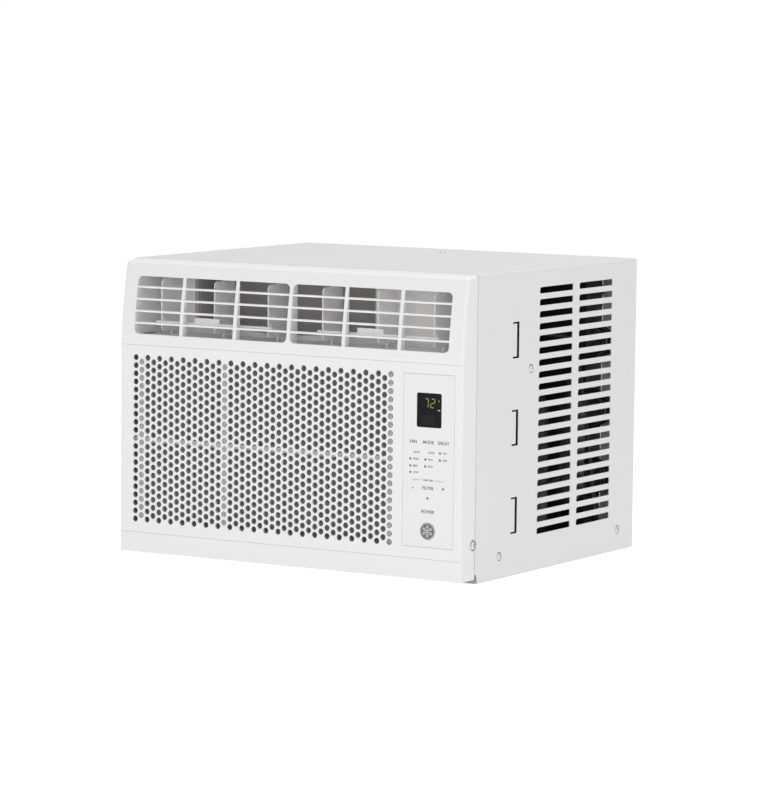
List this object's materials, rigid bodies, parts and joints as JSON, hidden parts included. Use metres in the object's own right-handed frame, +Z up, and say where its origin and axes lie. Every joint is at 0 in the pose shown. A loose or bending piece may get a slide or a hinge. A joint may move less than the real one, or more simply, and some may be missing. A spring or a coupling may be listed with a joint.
{
  "type": "window air conditioner",
  "caption": "Window air conditioner with a perforated front intake, swinging outlet vanes, a control panel, and louvred steel case.",
  "frame": {"origin": "centre of the base pan's underside, which is the bottom centre of the whole unit's box", "axes": "+X across the unit to the right as seen from the room, +Y from the room side to the outdoor side, +Z up"},
  "size_m": [0.4648, 0.408, 0.3474],
  "materials": {
    "bezel_plastic": "satin white moulded plastic",
    "case_paint": "fine-textured light grey baked paint",
    "galvanised": "galvanised sheet",
    "vane_plastic": "light grey moulded plastic",
    "foam": "light grey expanded foam",
    "dark_plastic": "dark grey moulded plastic",
    "display_black": "gloss black window",
    "film": "printed light film",
    "filter_plastic": "light grey moulded filter frame",
    "board": "green circuit board",
    "copper": "bare copper tube",
    "fin_aluminium": "thin aluminium fins",
    "black_paint": "black paint on steel",
    "rubber": "black rubber",
    "bright_steel": "plated steel",
    "badge": "plain grey disc"
  },
  "bodies": {
    "base": {"base_pan": "galvanised", "outer_case": "case_paint", "rear_guard": "case_paint", "front_bezel": "bezel_plastic", "outlet_grille": "bezel_plastic", "control_panel": "bezel_plastic", "control_film": "film", "display_window": "display_black", "badge_disc": "badge", "control_board": "board", "vane_rail_lower": "bezel_plastic", "vane_rail_upper": "bezel_plastic", "outlet_duct": "foam", "blower_housing": "dark_plastic", "blower_orifice": "dark_plastic", "fan_motor": "galvanised", "bulkhead": "galvanised", "condenser_shroud": "galvanised", "evaporator_fins": "fin_aluminium", "evaporator_tubes": "copper", "condenser_fins": "fin_aluminium", "condenser_tubes": "copper", "compressor": "black_paint", "compressor_mount_1": "rubber", "compressor_mount_2": "rubber", "compressor_mount_3": "rubber", "accumulator": "black_paint", "suction_line": "copper", "discharge_line": "copper", "capillary_line": "copper", "filter_drier": "copper", "control_box": "galvanised", "run_capacitor": "bright_steel", "cord_gland": "rubber", "bezel_screw": "bright_steel", "case_screw_front": "bright_steel", "case_screw_middle": "bright_steel", "case_screw_rear": "bright_steel", "case_screw_left": "bright_steel", "case_screw_top": "bright_steel"},
    "fan_rotor": {"motor_shaft": "bright_steel", "blower_wheel": "dark_plastic", "condenser_fan": "dark_plastic"},
    "filter": {"filter_frame": "filter_plastic", "filter_mesh": "dark_plastic"},
    "vane_left_1": {"vane_left_1": "vane_plastic"},
    "vane_left_2": {"vane_left_2": "vane_plastic"},
    "vane_left_3": {"vane_left_3": "vane_plastic"},
    "tie_bar_left": {"tie_bar_left": "vane_plastic"},
    "vane_right_1": {"vane_right_1": "vane_plastic"},
    "vane_right_2": {"vane_right_2": "vane_plastic"},
    "vane_right_3": {"vane_right_3": "vane_plastic"},
    "tie_bar_right": {"tie_bar_right": "vane_plastic"},
    "key_power": {"key_power": "film"},
    "key_fan": {"key_fan": "film"},
    "key_mode": {"key_mode": "film"},
    "key_delay": {"key_delay": "film"},
    "key_down": {"key_down": "film"},
    "key_filter": {"key_filter": "film"},
    "key_up": {"key_up": "film"}
  },
  "joints": [
    {"name": "fan_spin", "type": "hinge", "parent": "base", "child": "fan_rotor", "pos_m": [-0.0435, -0.011, 0.14], "axis": [0, 1, 0], "continuous": true},
    {"name": "filter_slide", "type": "slide", "parent": "base", "child": "filter", "axis": [-1, 0, 0], "range_m": [0, 0.365]},
    {"name": "vane_left_1_swing", "type": "hinge", "parent": "base", "child": "vane_left_1", "pos_m": [-0.18226, -0.168, 0.29225], "axis": [0, 0, 1], "range_deg": [-30, 30]},
    {"name": "vane_left_2_swing", "type": "hinge", "parent": "base", "child": "vane_left_2", "pos_m": [-0.10936, -0.168, 0.29225], "axis": [0, 0, 1], "range_deg": [-30, 30]},
    {"name": "vane_left_3_swing", "type": "hinge", "parent": "base", "child": "vane_left_3", "pos_m": [-0.03645, -0.168, 0.29225], "axis": [0, 0, 1], "range_deg": [-30, 30]},
    {"name": "tie_bar_left_turn", "type": "hinge", "parent": "vane_left_2", "child": "tie_bar_left", "pos_m": [-0.10936, -0.1865, 0.273], "axis": [0, 0, 1], "range_deg": [-30, 30]},
    {"name": "vane_right_1_swing", "type": "hinge", "parent": "base", "child": "vane_right_1", "pos_m": [0.03645, -0.168, 0.29225], "axis": [0, 0, 1], "range_deg": [-30, 30]},
    {"name": "vane_right_2_swing", "type": "hinge", "parent": "base", "child": "vane_right_2", "pos_m": [0.10936, -0.168, 0.29225], "axis": [0, 0, 1], "range_deg": [-30, 30]},
    {"name": "vane_right_3_swing", "type": "hinge", "parent": "base", "child": "vane_right_3", "pos_m": [0.18226, -0.168, 0.29225], "axis": [0, 0, 1], "range_deg": [-30, 30]},
    {"name": "tie_bar_right_turn", "type": "hinge", "parent": "vane_right_2", "child": "tie_bar_right", "pos_m": [0.10936, -0.1865, 0.273], "axis": [0, 0, 1], "range_deg": [-30, 30]},
    {"name": "key_power_press", "type": "slide", "parent": "base", "child": "key_power", "axis": [0, 1, 0], "range_m": [0, 0.0005], "stiffness_N_per_m": 800},
    {"name": "key_fan_press", "type": "slide", "parent": "base", "child": "key_fan", "axis": [0, 1, 0], "range_m": [0, 0.0005], "stiffness_N_per_m": 800},
    {"name": "key_mode_press", "type": "slide", "parent": "base", "child": "key_mode", "axis": [0, 1, 0], "range_m": [0, 0.0005], "stiffness_N_per_m": 800},
    {"name": "key_delay_press", "type": "slide", "parent": "base", "child": "key_delay", "axis": [0, 1, 0], "range_m": [0, 0.0005], "stiffness_N_per_m": 800},
    {"name": "key_down_press", "type": "slide", "parent": "base", "child": "key_down", "axis": [0, 1, 0], "range_m": [0, 0.0005], "stiffness_N_per_m": 800},
    {"name": "key_filter_press", "type": "slide", "parent": "base", "child": "key_filter", "axis": [0, 1, 0], "range_m": [0, 0.0005], "stiffness_N_per_m": 800},
    {"name": "key_up_press", "type": "slide", "parent": "base", "child": "key_up", "axis": [0, 1, 0], "range_m": [0, 0.0005], "stiffness_N_per_m": 800}
  ],
  "couplings": [
    {"joint": "vane_left_1_swing", "follows": "vane_left_2_swing", "ratio": 1},
    {"joint": "vane_left_3_swing", "follows": "vane_left_2_swing", "ratio": 1},
    {"joint": "tie_bar_left_turn", "follows": "vane_left_2_swing", "ratio": -1},
    {"joint": "vane_right_1_swing", "follows": "vane_right_2_swing", "ratio": 1},
    {"joint": "vane_right_3_swing", "follows": "vane_right_2_swing", "ratio": 1},
    {"joint": "tie_bar_right_turn", "follows": "vane_right_2_swing", "ratio": -1}
  ]
}
